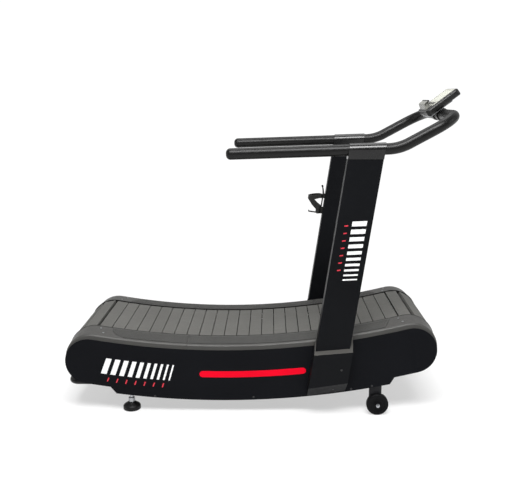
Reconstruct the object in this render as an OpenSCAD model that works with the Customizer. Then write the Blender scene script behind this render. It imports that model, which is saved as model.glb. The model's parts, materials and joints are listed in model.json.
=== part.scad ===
// Curved manual treadmill: a slat belt on a concave arc, driven by the runner,
// between two side frames, with two leaning posts and one bent handlebar.
// +X is the front (console end), +Y the runner's left, +Z up. The base stands on z = 0.

/* [Running surface] */
// Width of the slat treads across the belt
belt_w = 432; // [420:2:434]
// Radius of the arc that passes through both drum axes
arc_r = 3645; // [3600:5:3700]
// Arc angle from the lowest point back to the rear drum axis
ang_rear = 9.56; // [9:0.02:10]
// Arc angle from the lowest point forward to the front drum axis
ang_front = 13.91; // [13.5:0.01:14.2]
// Distance from a drum axis to the belt's pitch line
pitch_r = 97.7; // [96:0.1:99]
// Distance from a drum axis to the tread surface
tread_r = 122; // [121:0.5:124]
// Number of slats in the whole loop
slat_n = 60; // [58:1:61]
// Gap between two neighbouring treads
tread_gap = 4; // [3.5:0.1:6]
// Thickness of the rubber tread
tread_t = 12; // [10:0.5:13]
// Distance of the first slat past the rear drum's top
belt_phase = 26.1; // [24:0.1:28]
// Height of the running surface at its lowest point
deck_low = 333; // [330:1:336]

/* [Deck sides] */
// Half width over the side panels
deck_half = 346; // [344:1:348]
// Height of a side panel's rounded band
panel_h = 214; // [210:1:218]
// Depth of the skirt below the rounded band
skirt_drop = 29; // [24:1:32]
// Height of the rail covers above the tread surface
rail_rise = 4; // [3:0.5:6]

/* [Posts] */
// Width of a post seen from the side
post_w = 152; // [148:1:156]
// Thickness of a post
post_t = 54; // [50:1:54]
// Forward lean of a post
post_lean = 8.3; // [7.8:0.1:8.8]
// Distance from the middle plane to a post's centre
post_y = 374; // [373:0.5:376]

/* [Handlebar] */
// Outer diameter of the handlebar tube
bar_d = 50; // [48:1:50]
// Wall thickness of the handlebar tube
bar_wall = 2.5; // [2:0.5:4]
// Rise of the long straight grips
bar_slope = 1.9; // [1.5:0.1:2.3]
// Rise of the front loop
loop_slope = 28.5; // [27:0.5:30]
// Radius of the two front corners
corner_r = 120; // [110:5:130]

/* [Console] */
// Tilt of the console face from horizontal
console_tilt = 37; // [34:1:40]
// Length of the console along its slope
console_l = 178; // [174:1:182]
// Width of the console across the machine
console_w = 200; // [190:2:210]
// Thickness of the console housing
console_t = 35; // [33:0.5:35]

/* [Feet and wheels] */
// Diameter of a transport wheel
wheel_d = 102; // [98:1:104]
// Diameter of a levelling foot's pad
foot_d = 82; // [78:1:86]
// Diameter of a levelling foot's screw
stud_d = 16; // [14:1:18]

/* [Hidden] */
$fn = 64;
e = 0.3;                          // clearance between neighbouring pieces
XS = 40.5;                        // puts the middle of the length at x = 0
AX = -225 + XS;                   // arc axis, across the machine
AZ = deck_low + arc_r - tread_r;
PR = arc_r + 12;                  // middle arc of the side panels
pa0 = -ang_rear - 0.15;
pa1 = ang_front + 0.11;
ph = panel_h/2;
seam0 = -2.6;                     // rail cover joints, as arc angles
seam1 = 7.5;
r_top = arc_r - pitch_r;
r_ret = arc_r + pitch_r;
L_top = r_top*(ang_rear + ang_front)*PI/180;
L_ret = r_ret*(ang_rear + ang_front)*PI/180;
L_wrap = PI*pitch_r;
pitch = (L_top + L_ret + 2*L_wrap)/slat_n;
bar_r = bar_d/2;
post_x0 = 331 + XS;               // post centre line at z = post_z0
post_z0 = 656;
bar_x0 = 170.8 + XS;              // handlebar centre line passes here
bar_z0 = 1220.3;
bar_x_rear = -192 + XS;            // rear end of the caps
grip_x0 = bar_x_rear + 24;         // rear end of the tube
loop_x = 805.7 + XS;               // crossbar centre line
loop_z = 1369.2;
knee_r = 200;
wheel_x = 499 + XS;
foot_x = -655 + XS;
foot_y = 300;

function ax(a, r) = AX + r*sin(a);
function az(a, r) = AZ - r*cos(a);
function bar_z(x) = bar_z0 + (x - bar_x0)*tan(bar_slope);

// Pieces on both sides of the middle plane
module both() { children(); mirror([0, 1, 0]) children(); }
module right() { mirror([0, 1, 0]) children(); }

// Sweeps a (radius, y) outline about the arc axis, from angle a0 to a1
module arc_sweep(a0, a1)
  translate([AX, 0, AZ]) rotate([-90, 0, 0]) rotate([0, 0, 90 - a1])
    rotate_extrude(angle = a1 - a0, $fn = 720) children();

// Sweeps a (radius, y) outline about a cross axis; 0 is up, 90 is forward
module end_sweep(cx, cz, t0, t1)
  translate([cx, 0, cz]) rotate([-90, 0, 0]) rotate([0, 0, t0 - 90])
    rotate_extrude(angle = t1 - t0, $fn = 144) children();

// Curved bar with round ends, centred on radius rm
module band(rm, h, a0, a1, y0, y1) {
  arc_sweep(a0, a1) translate([rm - h, y0]) square([2*h, y1 - y0]);
  end_sweep(ax(a1, rm), az(a1, rm), -a1, 180 - a1) translate([0, y0]) square([h, y1 - y0]);
  end_sweep(ax(a0, rm), az(a0, rm), 180 - a0, 360 - a0) translate([0, y0]) square([h, y1 - y0]);
}

// Cylinder along Y from y0 to y1
module ycyl(x, z, r, y0, y1, fn = 64)
  translate([x, y0, z]) rotate([-90, 0, 0]) cylinder(r = r, h = y1 - y0, $fn = fn);

// Box from corner to corner
module bx(p, q) translate(p) cube([q[0] - p[0], q[1] - p[1], q[2] - p[2]]);

// Outline in the X-Z plane, extruded along Y from y0 to y1
module side_prism(pts, y0, y1)
  translate([0, y1, 0]) rotate([90, 0, 0]) linear_extrude(height = y1 - y0) polygon(pts);

// ---------------------------------------------------------------- deck frame

drum_fx = ax(ang_front, arc_r);
drum_fz = az(ang_front, arc_r);
drum_rx = ax(-ang_rear, arc_r);
drum_rz = az(-ang_rear, arc_r);

module side_frames() color([0.16, 0.16, 0.17]) both() difference() {
  union() {
    band(arc_r + 3, 78, -ang_rear, ang_front, 240, 246);
    // flange that carries the track bearings
    arc_sweep(-ang_rear + 1.6, ang_front - 1.6) translate([arc_r - 73, 243]) square([6, 33]);
    arc_sweep(-4.5, 9) translate([arc_r + 72, 243]) square([6, 33]);
  }
  for (p = [[drum_fx, drum_fz], [drum_rx, drum_rz]]) ycyl(p[0], p[1], 15, 230, 260);
}

module frame_cross_members() color([0.18, 0.18, 0.19])
  for (a = [-7, -1.5, 4, 9.5])
    translate([ax(a, arc_r), 0, az(a, arc_r)]) rotate([0, -a, 0]) difference() {
      translate([-30, -240, -20]) cube([60, 480, 40]);
      translate([-27, -241, -17]) cube([54, 482, 34]);
    }

module drum_bearings() color([0.45, 0.46, 0.48]) both()
  for (p = [[drum_fx, drum_fz], [drum_rx, drum_rz]]) difference() {
    union() {
      ycyl(p[0], p[1], 34, 246, 268);
      ycyl(p[0], p[1], 48, 246, 252);
    }
    ycyl(p[0], p[1], 12.55, 240, 270);
  }

// Rollers under the slat ends, along the whole track
module track_bearings() color([0.6, 0.61, 0.63]) both()
  for (i = [0:15]) let (a = -ang_rear + 1.9 + i*(ang_front + ang_rear - 3.8)/15, rb = arc_r - (bt - 14.5))
    translate([ax(a, rb), 0, az(a, rb)]) {
      translate([0, 198, 0]) rotate([-90, 0, 0]) difference() {
        cylinder(r = 14, h = 12);
        translate([0, 0, -1]) cylinder(r = 5.1, h = 14);
      }
      translate([0, 194, 0]) rotate([-90, 0, 0]) cylinder(r = 5, h = 46);
      translate([0, 210.2, 0]) rotate([-90, 0, 0]) difference() {
        cylinder(r = 9, h = 29.8);
        translate([0, 0, -1]) cylinder(r = 5, h = 32);
      }
      // lug that hangs the roller from the side frame
      rotate([0, -a, 0]) translate([-11, 233, -26]) difference() {
        cube([22, 6.9, 30]);
        translate([11, -1, 26]) rotate([-90, 0, 0]) cylinder(r = 9.05, h = 9);
      }
    }

// ---------------------------------------------------------------- side panels

skirt_r = PR + ph + skirt_drop;
skirt_pts = [[-770 + XS, 160], [-683 + XS, 55], [-683 + XS, 0], [529 + XS, 0],
  [529 + XS, 99], [601 + XS, 219], [601 + XS, 400], [-770 + XS, 400]];
panel_screws = [[-537, 83], [-77, 80], [377, 121], [473, 136]];
boot_screws = [[323, 241]];

module side_panel() difference() {
  union() {
    band(PR, ph, pa0, pa1, deck_half - 3, deck_half);
    intersection() {
      arc_sweep(pa0, pa1) translate([PR + ph - 30, deck_half - 3]) square([30 + skirt_drop, 3]);
      side_prism(skirt_pts, deck_half - 10, deck_half + 10);
    }
    // return flanges along both long edges
    arc_sweep(pa0, pa1) translate([PR - ph, deck_half - 26]) square([3, 23]);
    arc_sweep(pa0, pa1) translate([PR + ph - 3, deck_half - 26]) square([3, 23]);
  }
  // window for the post's mounting arm, behind the boot
  bx([224 + XS, deck_half - 20, 192], [322 + XS, deck_half + 10, 288]);
  for (p = panel_screws) ycyl(p[0] + XS, p[1], 2.6, deck_half - 10, deck_half + 10, 24);
}
module side_panel_right() color([0.105, 0.108, 0.12]) right() side_panel();
module side_panel_left() color([0.105, 0.108, 0.12]) side_panel();

// Narrow arc stripe bonded to each side panel
stripe_a0 = asin((-327 + 15 + 225)/3665);
stripe_a1 = asin((166 - 15 + 225)/3665);
module accent_stripes() color([1, 0.08, 0.17]) both()
  band(3665, 15, stripe_a0, stripe_a1, deck_half, deck_half + 0.8);

// ---------------------------------------------------------------- rail covers

rt = tread_r + rail_rise;
cover_out = [[221, rt - 11.5], [221, rt], [329, rt - 6.5], [335, rt - 8.5], [339.4, rt - 13], [342.6, rt - 30.6]];
cover_in = [[339.6, rt - 30.6], [336.6, rt - 14.2], [333.4, rt - 10.9], [328.6, rt - 9.5], [224, rt - 3.2], [224, rt - 11.5]];
cover_pts = concat(cover_out, cover_in);

module cover_arc(a0, a1) arc_sweep(a0, a1) polygon([for (p = cover_pts) [arc_r - p[1], p[0]]]);
module cover_end(cx, cz, t0, t1) end_sweep(cx, cz, t0, t1) polygon([for (p = cover_pts) [p[1], p[0]]]);

cover_col = [0.30, 0.30, 0.295];
module rear_rail_covers() color(cover_col) both() {
  cover_arc(-ang_rear, seam0 - 0.01);
  cover_end(drum_rx, drum_rz, 240, 360 + ang_rear);
}
module mid_rail_covers() color(cover_col) both() cover_arc(seam0 + 0.01, seam1 - 0.01);
module front_rail_covers() color(cover_col) both() {
  cover_arc(seam1 + 0.01, ang_front);
  cover_end(drum_fx, drum_fz, -ang_front, 120);
}

// Non-slip strips let onto the sloping tops of the covers
function cover_h(y) = rt - (y - 221)*6.5/108;   // height of the covers' top face
grip_pts = [[236, cover_h(236) + 0.03], [322, cover_h(322) + 0.03], [322, cover_h(322) + 1.3], [236, cover_h(236) + 1.3]];
module grip(a0, a1) arc_sweep(a0, a1) polygon([for (p = grip_pts) [arc_r - p[1], p[0]]]);
module foot_grip_strips() color([0.24, 0.24, 0.235]) both() intersection() {
  union() {
    grip(-8.6, seam0 - 0.03);
    grip(seam0 + 0.03, seam1 - 0.03);
    grip(seam1 + 0.03, 12.8);
  }
  translate([0, 0, 200]) linear_extrude(height = 400) polygon([[-742 + XS, 230], [-738 + XS, 262],
    [-722 + XS, 292], [-700 + XS, 310], [-676 + XS, 324], [528 + XS, 324], [542 + XS, 290], [562 + XS, 230]]);
}

module cover_screws() color([0.6, 0.6, 0.6]) both() {
  // end cover screws, on the slope outside the grip strip's ends
  for (p = [[-9.35, 250], [-9.0, 300], [13.55, 250], [13.75, 300]])
    let (r = arc_r - cover_h(p[1]))
      translate([ax(p[0], r), p[1], az(p[0], r)]) rotate([-3.4, -p[0], 0]) cylinder(r = 4.5, h = 1.8, $fn = 32);
}

// ---------------------------------------------------------------- belt

tb = tread_r - tread_t;            // underside of the treads, from a drum axis
bt = tb - 6;                       // underside of the slat bars' plates
lt = pitch_r + 3;                  // outside of the link belts
tw = pitch - tread_gap;

slats_top = [for (i = [0:slat_n - 1]) let (s = belt_phase + i*pitch) if (s < L_top) s];
slats_front = [for (i = [0:slat_n - 1]) let (s = belt_phase + i*pitch - L_top) if (s >= 0 && s < L_wrap) s];
slats_ret = [for (i = [0:slat_n - 1]) let (s = belt_phase + i*pitch - L_top - L_wrap) if (s >= 0 && s < L_ret) s];
slats_rear = [for (i = [0:slat_n - 1]) let (s = belt_phase + i*pitch - L_top - L_wrap - L_ret) if (s >= 0 && s < L_wrap) s];

// Puts a slat drawn with its pitch line at z = 0 and its tread up
module on_top(s) let (a = -ang_rear + s/r_top*180/PI)
  translate([AX, 0, AZ]) rotate([0, -a, 0]) translate([0, 0, -r_top]) children();
module on_ret(s) let (a = ang_front - s/r_ret*180/PI)
  translate([AX, 0, AZ]) rotate([0, -a, 0]) translate([0, 0, -r_ret]) rotate([0, 180, 0]) children();
module on_front(s) translate([drum_fx, 0, drum_fz])
  rotate([0, -ang_front + s/pitch_r*180/PI, 0]) translate([0, 0, pitch_r]) children();
module on_rear(s) translate([drum_rx, 0, drum_rz])
  rotate([0, 180 + ang_rear + s/pitch_r*180/PI, 0]) translate([0, 0, pitch_r]) children();

module tread() translate([-tw/2, -belt_w/2, tb - pitch_r]) cube([tw, belt_w, tread_t]);
// Aluminium bar: a plate, a stiffening web and a foot on each link belt
module slat_bar() {
  translate([-tw/2 + 1, -belt_w/2 + 2, bt - pitch_r]) cube([tw - 2, belt_w - 4, tb - bt]);
  translate([-4, -148, bt - pitch_r - 14]) cube([8, 296, 14]);
  for (y = [-190, 150]) translate([-13, y, lt - pitch_r]) cube([26, 40, bt - lt]);
}

tread_col = [0.36, 0.36, 0.34];
bar_col = [0.55, 0.56, 0.58];
link_col = [0.08, 0.08, 0.08];
module treads_top() color(tread_col) for (s = slats_top) on_top(s) tread();
module treads_front() color(tread_col) for (s = slats_front) on_front(s) tread();
module treads_return() color(tread_col) for (s = slats_ret) on_ret(s) tread();
module treads_rear() color(tread_col) for (s = slats_rear) on_rear(s) tread();
module slat_bars_top() color(bar_col) for (s = slats_top) on_top(s) slat_bar();
module slat_bars_front() color(bar_col) for (s = slats_front) on_front(s) slat_bar();
module slat_bars_return() color(bar_col) for (s = slats_ret) on_ret(s) slat_bar();
module slat_bars_rear() color(bar_col) for (s = slats_rear) on_rear(s) slat_bar();

// Flat belts that tie the slats together, in four stretches
lg = 1.2*180/PI;                   // end gap of a stretch, in degree-millimetres
module link_arc(r, front = lg) both() arc_sweep(-ang_rear + lg/r, ang_front - front/r)
  translate([r - 2.96, 150]) square([5.96, 40]);
module link_wrap(cx, cz, t0) both() end_sweep(cx, cz, t0 + lg/pitch_r, t0 + 180 - lg/pitch_r)
  translate([pitch_r - 3, 150]) square([6, 40]);
// the top stretch stops short at the front, so that it clears the front wrap at full travel
module link_belts_top() color(link_col) link_arc(r_top, 10*180/PI);
module link_belts_return() color(link_col) link_arc(r_ret);
module link_belts_front() color(link_col) link_wrap(drum_fx, drum_fz, -ang_front);
module link_belts_rear() color(link_col) link_wrap(drum_rx, drum_rz, 180 + ang_rear);

// Drums: a shaft with two flanged wheels that carry the link belts
module shaft(x, z) {
  ycyl(x, z, 12.5, -272, 272);
  both() ycyl(x, z, 17, 216, 232);
}
module pulleys(x, z) both() difference() {
  union() {
    ycyl(x, z, pitch_r - 3.2, 150, 190, 96);
    ycyl(x, z, 32, 136, 206);
  }
  ycyl(x, z, 12.5, 130, 210);
  for (i = [0:5]) ycyl(x + 60*cos(60*i), z + 60*sin(60*i), 19, 140, 200);
}
module front_drum_shaft() color([0.62, 0.63, 0.65]) shaft(drum_fx, drum_fz);
module rear_drum_shaft() color([0.62, 0.63, 0.65]) shaft(drum_rx, drum_rz);
module front_pulleys() color([0.5, 0.5, 0.52]) pulleys(drum_fx, drum_fz);
module rear_pulleys() color([0.5, 0.5, 0.52]) pulleys(drum_rx, drum_rz);

// ---------------------------------------------------------------- posts

// Frame of a post: origin on its centre line at post_z0, z along the post
module on_post() translate([post_x0, post_y, post_z0]) rotate([0, post_lean, 0]) children();
function post_s(z) = (z - post_z0)/cos(post_lean);
post_bottom = 168;
sleeve_z0 = 1188.5;
sleeve_z1 = 1260.5;

module upright() difference() {
  union() {
    // leaning box tube, cut level at both ends, with a level top plate
    intersection() {
      on_post() translate([-post_w/2, -post_t/2, -800]) cube([post_w, post_t, 1600]);
      bx([0, 300, post_bottom], [800, 450, sleeve_z0]);
    }
    // arm that reaches through the panel to the side frame
    bx([236 + XS, 246.02, 200], [310 + XS, post_y - post_t/2, 206]);
    bx([236 + XS, 246.02, 274], [310 + XS, post_y - post_t/2, 280]);
    bx([236 + XS, 246.02, 200], [310 + XS, 252, 280]);
    bx([236 + XS, post_y - post_t/2 - 6, 200], [310 + XS, post_y - post_t/2, 280]);
  }
  intersection() {
    on_post() translate([-post_w/2 + 3, -post_t/2 + 3, -800]) cube([post_w - 6, post_t - 6, 1600]);
    bx([0, 300, post_bottom - 10], [800, 450, sleeve_z0 - 4]);
  }
}
module upright_right() color([0.10, 0.103, 0.112]) right() upright();
module upright_left() color([0.10, 0.103, 0.112]) upright();

// Boot: a tapered shell over the foot of a post, open on the inner side. Its top slopes down
// outwards from the panel's top edge, and its lower end tapers in to the panel.
boot_y = 420;
boot_rise = 5;
boot_side = [[174, 147], [208, 370], [381, 384], [352, 176], [347, 100], [172, 76]];
boot_side_in = [[177.5, 148], [211, 372], [377.8, 386], [348.8, 176.5], [343.7, 99], [175.4, 74]];
boot_cross = [[deck_half + e, -265], [boot_y, -265], [boot_y, 0], [deck_half + e, 49]];
boot_cross_in = [[deck_half - 5, -265], [boot_y - 3, -265], [boot_y - 3, -2], [deck_half - 5, 49]];
boot_low = [[deck_half + e, 0], [boot_y, 66], [boot_y, 400], [deck_half + e, 400]];
boot_low_in = [[deck_half - 5, -0.5], [boot_y - 3, 67.5], [boot_y - 3, 400], [deck_half - 5, 400]];
// Intersection of a side outline and two cross outlines that rise towards the front: one
// for the top, and one for the lower end, which follows the skirt's lower edge
module two_way(side, cross, low, y0, y1) intersection() {
  side_prism([for (p = side) [p[0] + XS, p[1]]], y0, y1);
  translate([199 + XS, 0, 310]) rotate([0, -boot_rise, 0]) translate([-150, 0, 0])
    rotate([90, 0, 90]) linear_extrude(height = 480) polygon(cross);
  translate([199 + XS, 0, 88.3]) rotate([0, -8.5, 0]) translate([-150, 0, 0])
    rotate([90, 0, 90]) linear_extrude(height = 480) polygon(low);
}
module boot() difference() {
  two_way(boot_side, boot_cross, boot_low, deck_half + e, boot_y + 5);
  two_way(boot_side_in, boot_cross_in, boot_low_in, deck_half - 2, boot_y + 5);
  intersection() {
    on_post() translate([-post_w/2 - e, -post_t/2 - 40, -700]) cube([post_w + 2*e, post_t + 40 + e, 900]);
    bx([0, 250, post_bottom - e], [800, 450, 700]);
  }
  for (p = boot_screws) ycyl(p[0] + XS, p[1], 2.6, boot_y - 10, boot_y + 10, 24);
}
module upright_boot_right() color([0.115, 0.118, 0.128]) right() boot();
module upright_boot_left() color([0.115, 0.118, 0.128]) boot();

// Clamp sleeves that tie the posts to the handlebar
sleeve_r = bar_r + 3.5;
bolt_z = sleeve_z0 + 6.8;
bolt_xs = [post_x0 + 78 - 46, post_x0 + 78 + 46];
module clamp_sleeves() color([0.12, 0.122, 0.13]) both() difference() {
  intersection() {
    on_post() translate([-post_w/2 - 1, -60, 400]) cube([post_w + 2, 120, 400]);
    union() {
      bx([200, post_y - sleeve_r, sleeve_z0 + 0.2], [800, post_y + sleeve_r, bar_z(post_x0 + 84)]);
      translate([bar_x0, post_y, bar_z0]) rotate([0, -bar_slope, 0]) rotate([0, 90, 0]) cylinder(r = sleeve_r, h = 600, $fn = 96);
    }
  }
  translate([bar_x0, post_y, bar_z0]) rotate([0, -bar_slope, 0]) rotate([0, 90, 0])
    translate([0, 0, -200]) cylinder(r = bar_r + 0.02, h = 900, $fn = 96);
  for (x = bolt_xs) ycyl(x, bolt_z, 3.05, post_y - sleeve_r - 5, post_y - sleeve_r + 12, 32);
}
// Black button-head screws of the clamps, the panels and the boots
module socket_head(x, z, y, l, r = 5) {
  ycyl(x, z, 2.5, y - l, y + 0.02, 24);
  difference() {
    ycyl(x, z, r, y + 0.02, y + 2, 32);
    ycyl(x, z, 2, y + 0.9, y + 3, 6);
  }
}
module black_screws() color([0.12, 0.12, 0.12]) both() {
  for (x = bolt_xs) {
    ycyl(x, bolt_z, 3, post_y - sleeve_r - 0.02, post_y - sleeve_r + 11.8, 32);
    ycyl(x, bolt_z, 5.2, post_y - sleeve_r - 3, post_y - sleeve_r - 0.02, 32);
  }
  for (p = panel_screws) socket_head(p[0] + XS, p[1], deck_half, 8);
  for (p = boot_screws) socket_head(p[0] + XS, p[1], boot_y, 8);
}

// ---------------------------------------------------------------- handlebar

knee_x = bar_x0 + (loop_z - (loop_x - bar_x0)*tan(loop_slope) - bar_z0)/(tan(bar_slope) - tan(loop_slope));
knee_z = bar_z(knee_x);
knee_t = knee_r*tan((loop_slope - bar_slope)/2);
loop_l = (loop_x - knee_x)/cos(loop_slope);

module ring2d() difference() { circle(r = bar_r, $fn = 96); circle(r = bar_r - bar_wall, $fn = 96); }
module tube_x(l) rotate([0, 90, 0]) difference() {
  cylinder(r = bar_r, h = l, $fn = 96);
  translate([0, 0, -1]) cylinder(r = bar_r - bar_wall, h = l + 2, $fn = 96);
}

module half_bar() {
  // long straight grip, from the rear end to the knee
  translate([knee_x, post_y, knee_z]) rotate([0, -bar_slope, 0])
    translate([-(knee_x - grip_x0)/cos(bar_slope), 0, 0]) tube_x((knee_x - grip_x0)/cos(bar_slope) - knee_t);
  // knee
  translate([knee_x, post_y, knee_z]) rotate([0, -bar_slope, 0]) translate([-knee_t, 0, knee_r])
    rotate([90, 0, 0]) rotate([0, 0, -90]) rotate_extrude(angle = loop_slope - bar_slope, $fn = 360)
      translate([knee_r, 0]) ring2d();
  // rising straight, corner and half of the crossbar
  translate([knee_x, 0, knee_z]) rotate([0, -loop_slope, 0]) {
    translate([knee_t, post_y, 0]) tube_x(loop_l - knee_t - corner_r);
    translate([loop_l - corner_r, post_y - corner_r, 0]) rotate_extrude(angle = 90, $fn = 180)
      translate([corner_r, 0]) ring2d();
  }
}
module handlebar() color([0.09, 0.09, 0.095]) {
  both() half_bar();
  translate([knee_x, 0, knee_z]) rotate([0, -loop_slope, 0]) translate([loop_l, -(post_y - corner_r), 0])
    rotate([-90, 0, 0]) difference() {
      cylinder(r = bar_r, h = 2*(post_y - corner_r), $fn = 96);
      translate([0, 0, -1]) cylinder(r = bar_r - bar_wall, h = 2*(post_y - corner_r) + 2, $fn = 96);
    }
}
// Domed caps, each on a plug in the tube's end
module handlebar_end_caps() color([0.05, 0.05, 0.05]) both()
  translate([grip_x0, post_y, bar_z(grip_x0)]) rotate([0, -bar_slope, 0]) rotate([0, -90, 0]) {
    translate([0, 0, 0.02]) rotate_extrude($fn = 96) {
      square([bar_r, 4]);
      square([bar_r - 20, 24]);
      translate([bar_r - 20, 4]) intersection() { circle(r = 20, $fn = 96); square(21); }
    }
    translate([0, 0, -18]) cylinder(r = bar_r - bar_wall - 0.1, h = 20, $fn = 64);
  }

// ---------------------------------------------------------------- console

// Frame of the console: origin at its lower front-face corner, x up the slope, z out of the face
module on_console() translate([717 + XS, 0, 1385]) rotate([0, -console_tilt, 0]) children();
ch = console_w/2;

// Rounded rectangle from corner to corner
module rr(p, q, r) {
  translate([p[0] + r, p[1]]) square([q[0] - p[0] - 2*r, q[1] - p[1]]);
  translate([p[0], p[1] + r]) square([q[0] - p[0], q[1] - p[1] - 2*r]);
  for (x = [p[0] + r, q[0] - r], y = [p[1] + r, q[1] - r]) translate([x, y]) circle(r = r, $fn = 48);
}
face_x0 = 42;                      // lower end of the pale face plate
face_l = console_l - 10 - face_x0;
key_x = 59;
lcd_x = 78;
lcd_l = console_l - 22 - lcd_x;

module console_housing() color([0.11, 0.11, 0.115]) on_console() difference() {
  intersection() {
    translate([0, ch, 0]) rotate([90, 0, 0]) linear_extrude(height = console_w) rr([0, -console_t], [console_l, 0], 12);
    translate([-1, 0, 0]) rotate([90, 0, 90]) linear_extrude(height = console_l + 2) rr([-ch, -console_t], [ch, 0], 13);
    translate([0, 0, -console_t - 1]) linear_extrude(height = console_t + 2) rr([0, -ch], [console_l, ch], 22);
  }
  // recess for the face plate
  translate([face_x0, -ch + 13, -3]) cube([face_l, console_w - 26, 5]);
  // recess for the display
  translate([lcd_x - 2, -70, -9]) cube([lcd_l + 4, 140, 12]);
  // pockets for the buttons
  for (i = [0:3]) translate([key_x, -54 + 36*i, -9]) cylinder(r = 9.4, h = 12, $fn = 48);
}
module console_face() color([0.80, 0.80, 0.76]) on_console() difference() {
  translate([face_x0 + 0.2, -ch + 13.2, -2.95]) cube([face_l - 0.4, console_w - 26.4, 2.6]);
  translate([lcd_x, -68, -4]) cube([lcd_l, 136, 6]);
  for (i = [0:3]) translate([key_x, -54 + 36*i, -4]) cylinder(r = 9.4, h = 6, $fn = 48);
}
module console_display() color([0.62, 0.66, 0.58]) on_console()
  translate([lcd_x + 0.3, -67.7, -8.9]) cube([lcd_l - 0.6, 135.4, 8.1]);
module console_button(i) color([0.2, 0.2, 0.21]) on_console()
  translate([key_x, -54 + 36*(i - 1), -6.6]) cylinder(r = 8.9, h = 8.2, $fn = 48);
module console_button_1() console_button(1);
module console_button_2() console_button(2);
module console_button_3() console_button(3);
module console_button_4() console_button(4);

// Hooked ledge for a phone or tablet across the console's lower end, leaning up the slope
ledge_out = [[9, 0.05], [34, 0.05], [43, 22], [44, 25.5], [41.5, 28.5], [19, 27], [15.5, 24.5]];
ledge_in = [[12.2, 2.6], [32, 2.6], [40, 22.5], [40.4, 25.6], [19.8, 24.4]];
module device_ledge() color([0.5, 0.5, 0.48]) on_console() difference() {
  side_prism(ledge_out, -60, 60);
  side_prism(ledge_in, -61, -52);
  side_prism(ledge_in, 52, 61);
}

// Saddle that turns on the crossbar, with the plate that carries the console
module console_bracket() color([0.16, 0.16, 0.165]) difference() {
  union() {
    for (y = [-60, 30]) ycyl(loop_x, loop_z, bar_r + 5, y, y + 30, 96);
    on_console() translate([7, -88, -console_t - 3.2]) cube([121, 176, 3]);
    for (y = [-60, 30]) on_console() translate([48, y + 2, -console_t - 18]) cube([30, 26, 15]);
  }
  ycyl(loop_x, loop_z, bar_r + 0.1, -80, 80, 96);
}

// ---------------------------------------------------------------- bottle cage on the left post

cage_z0 = 821;
cage_bolt_z = [20, 95];
module on_cage() translate([post_x0, post_y, post_z0]) rotate([0, post_lean, 0])
  translate([-post_w/2, 0, post_s(cage_z0)]) children();
bottle_r = 36;
module bottle_cage() color([0.10, 0.10, 0.10]) on_cage() difference() {
  union() {
    // back strip, which stands off the post on two blocks
    translate([-14, -9, 0]) cube([6, 18, 108]);
    for (z = [0, 84]) translate([-8.1, -9, z]) cube([8.05, 18, z == 0 ? 35 : 24]);
    // hook above the bottle's neck
    side_prism([[-5, 104], [-11, 128], [-17.5, 146], [-24, 146], [-18, 126], [-14, 104]], -7, 7);
    ycyl(-21.5, 147, 5.5, -7, 7);
    // arms and diagonal straps, both cut from one thin shell
    intersection() {
      translate([-14 - bottle_r, 0, 0]) difference() {
        cylinder(r = bottle_r + 3, h = 112, $fn = 96);
        translate([0, 0, -1]) cylinder(r = bottle_r, h = 114, $fn = 96);
      }
      union() {
        side_prism([[-95, 90], [-82, 91], [-62, 96], [-30, 103], [0, 104], [0, 84], [-30, 84], [-62, 72], [-95, 78]], -50, 50);
        side_prism([[-95, 90], [-95, 72], [-88, 70], [-64, 43], [-36, 20], [-34, 0], [0, 0], [0, 36], [-30, 50], [-60, 73], [-70, 88]], -50, 50);
      }
    }
    // foot under the bottle
    translate([-76, -13.5, 0]) cube([68, 27, 4]);
    translate([-76, -13.5, 0]) cube([4, 27, 8]);
  }
  for (z = cage_bolt_z) translate([-20, 0, z]) rotate([0, 90, 0]) cylinder(r = 2.6, h = 30, $fn = 24);
}
module bottle_cage_bolts() color([0.5, 0.5, 0.5]) on_cage()
  for (z = cage_bolt_z) {
    translate([-14.4, 0, z]) rotate([0, -90, 0]) cylinder(r = 4.5, h = 3, $fn = 32);
    translate([-14.4, 0, z]) rotate([0, 90, 0]) cylinder(r = 2.5, h = 14.38, $fn = 24);
  }

// ---------------------------------------------------------------- feet, wheels and lift handle

foot_plate_z = 96;
module foot_brackets() color([0.12, 0.12, 0.13]) both() difference() {
  union() {
    bx([foot_x - 48, 246.02, foot_plate_z], [foot_x + 48, 252, 190]);
    bx([foot_x - 48, 246.02, foot_plate_z], [foot_x + 48, 334, foot_plate_z + 6]);
    bx([foot_x - 48, 246.02, foot_plate_z], [foot_x - 42, 317, 150]);
    bx([foot_x - 14, 246.02, 50], [foot_x + 14, 252, 100]);
    ycylz(foot_x, foot_y, 15, foot_plate_z + 6, foot_plate_z + 20);
  }
  translate([foot_x, foot_y, 0]) cylinder(r = stud_d/2 + 0.08, h = 200);
}
module ycylz(x, y, r, z0, z1, fn = 64) translate([x, y, z0]) cylinder(r = r, h = z1 - z0, $fn = fn);
module foot_lock_nuts() color([0.66, 0.66, 0.68]) both() difference() {
  ycylz(foot_x, foot_y, 14, foot_plate_z - 13, foot_plate_z - 0.02, 6);
  translate([foot_x, foot_y, 0]) cylinder(r = stud_d/2 + 0.08, h = 200);
}
module foot_stud() {
  ycylz(foot_x, foot_y, stud_d/2, 38.02, 140);
  ycylz(foot_x, foot_y, 15.5, 38.02, 58, 6);
}
module foot_pad() let (r = foot_d/2) translate([foot_x, foot_y, 0]) rotate_extrude($fn = 96)
  polygon([[0, 0], [36, 0], [r - 1.2, 2.2], [r, 5.5], [r, 15.5], [r - 0.8, 19], [r - 3, 22.6], [r - 7, 25.6], [r - 12, 28.6], [r - 18, 32.2], [r - 22, 35.4], [17, 38], [0, 38]]);
steel_col = [0.66, 0.66, 0.68];
foot_col = [0.09, 0.09, 0.095];
module foot_stud_right() color(steel_col) right() foot_stud();
module foot_stud_left() color(steel_col) foot_stud();
module foot_pad_right() color(foot_col) right() foot_pad();
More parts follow.
